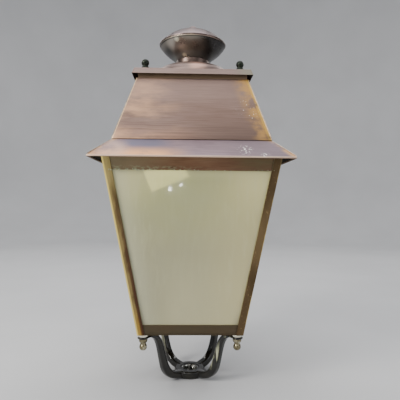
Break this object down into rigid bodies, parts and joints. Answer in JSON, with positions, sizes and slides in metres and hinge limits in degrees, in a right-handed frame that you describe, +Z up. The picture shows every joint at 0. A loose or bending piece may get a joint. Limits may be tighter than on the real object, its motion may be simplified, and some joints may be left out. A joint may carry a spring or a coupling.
{
  "type": "outdoor wall lantern",
  "caption": "Square tapered wall lantern: frosted panes in a brass cage, copper hood with flared eave, lift-off lid with round chimney cap, black cast fork with ring hub.",
  "frame": {"origin": "centre of the fork hub's flat underside, on the lantern's vertical axis", "axes": "+Z up along the lantern's axis, from the hub to the chimney cap; the front pane faces -Y; +X to the right seen from the front"},
  "size_m": [0.3, 0.3, 0.6184],
  "materials": {
    "roof_copper": null,
    "eave_copper": null,
    "cage_brass": "aged brass with rubbed yellow edges",
    "rail_bronze": "dark red-brown patinated brass",
    "frosted_glass": "milky frosted glass, smooth and glossy outside",
    "black_enamel": "cast metal in gloss black paint",
    "zinc_steel": "bright plated steel",
    "aged_nickel": "turned brass with worn nickel plating",
    "dark_bronze": "glossy dark bronze finish on spun and turned brass",
    "cap_copper": null,
    "porcelain": "white glazed porcelain",
    "lamp_brass": "bright brass",
    "clear_glass": "thin clear glass"
  },
  "bodies": {
    "cage": {"corner_post_front_left": "cage_brass", "top_bolt_front_left": "zinc_steel", "foot_bolt_front_left": "zinc_steel", "foot_ball_nut_front_left": "aged_nickel", "foot_spacer_front_left": "aged_nickel", "corner_post_front_right": "cage_brass", "top_bolt_front_right": "zinc_steel", "foot_bolt_front_right": "zinc_steel", "foot_ball_nut_front_right": "aged_nickel", "foot_spacer_front_right": "aged_nickel", "corner_post_back_right": "cage_brass", "top_bolt_back_right": "zinc_steel", "foot_bolt_back_right": "zinc_steel", "foot_ball_nut_back_right": "aged_nickel", "foot_spacer_back_right": "aged_nickel", "corner_post_back_left": "cage_brass", "top_bolt_back_left": "zinc_steel", "foot_bolt_back_left": "zinc_steel", "foot_ball_nut_back_left": "aged_nickel", "foot_spacer_back_left": "aged_nickel", "top_rail_front": "rail_bronze", "bottom_rail_front": "rail_bronze", "glass_pane_front": "frosted_glass", "top_rail_right": "rail_bronze", "bottom_rail_right": "rail_bronze", "glass_pane_right": "frosted_glass", "top_rail_back": "rail_bronze", "bottom_rail_back": "rail_bronze", "glass_pane_back": "frosted_glass", "top_rail_left": "rail_bronze", "bottom_rail_left": "rail_bronze", "glass_pane_left": "frosted_glass", "floor_plate": "rail_bronze", "eave_skirt": "eave_copper", "roof_shell": "roof_copper", "roof_throat": "rail_bronze", "hood_seat_ring": "rail_bronze", "fork": "black_enamel", "fork_bush": "zinc_steel", "lampholder_nipple": "lamp_brass", "nipple_nut": "lamp_brass", "lampholder": "porcelain", "lampholder_thread": "lamp_brass", "centre_contact": "lamp_brass"},
    "lid": {"lid_tray": "eave_copper", "vent_flange": "eave_copper", "vent_collar": "cap_copper", "cap_bowl": "dark_bronze", "cap_dome": "cap_copper", "cap_knob": "cap_copper"},
    "lamp": {"lamp_cap": "lamp_brass", "lamp_globe": "clear_glass", "lamp_stem": "clear_glass"},
    "nut_front_left": {"top_ball_nut_front_left": "dark_bronze"},
    "nut_front_right": {"top_ball_nut_front_right": "dark_bronze"},
    "nut_back_right": {"top_ball_nut_back_right": "dark_bronze"},
    "nut_back_left": {"top_ball_nut_back_left": "dark_bronze"}
  },
  "joints": [
    {"name": "lid_lift", "type": "slide", "parent": "cage", "child": "lid", "axis": [0, 0, 1], "range_m": [0, 0.12]},
    {"name": "lamp_turn", "type": "hinge", "parent": "cage", "child": "lamp", "pos_m": [0, 0, 0.13], "axis": [0, 0, 1], "range_deg": [0, 1080]},
    {"name": "nut_turn_front_left", "type": "hinge", "parent": "lid", "child": "nut_front_left", "pos_m": [-0.0758, -0.0758, 0.52], "axis": [0, 0, 1], "continuous": true},
    {"name": "nut_turn_front_right", "type": "hinge", "parent": "lid", "child": "nut_front_right", "pos_m": [0.0758, -0.0758, 0.52], "axis": [0, 0, 1], "continuous": true},
    {"name": "nut_turn_back_right", "type": "hinge", "parent": "lid", "child": "nut_back_right", "pos_m": [0.0758, 0.0758, 0.52], "axis": [0, 0, 1], "continuous": true},
    {"name": "nut_turn_back_left", "type": "hinge", "parent": "lid", "child": "nut_back_left", "pos_m": [-0.0758, 0.0758, 0.52], "axis": [0, 0, 1], "continuous": true}
  ]
}
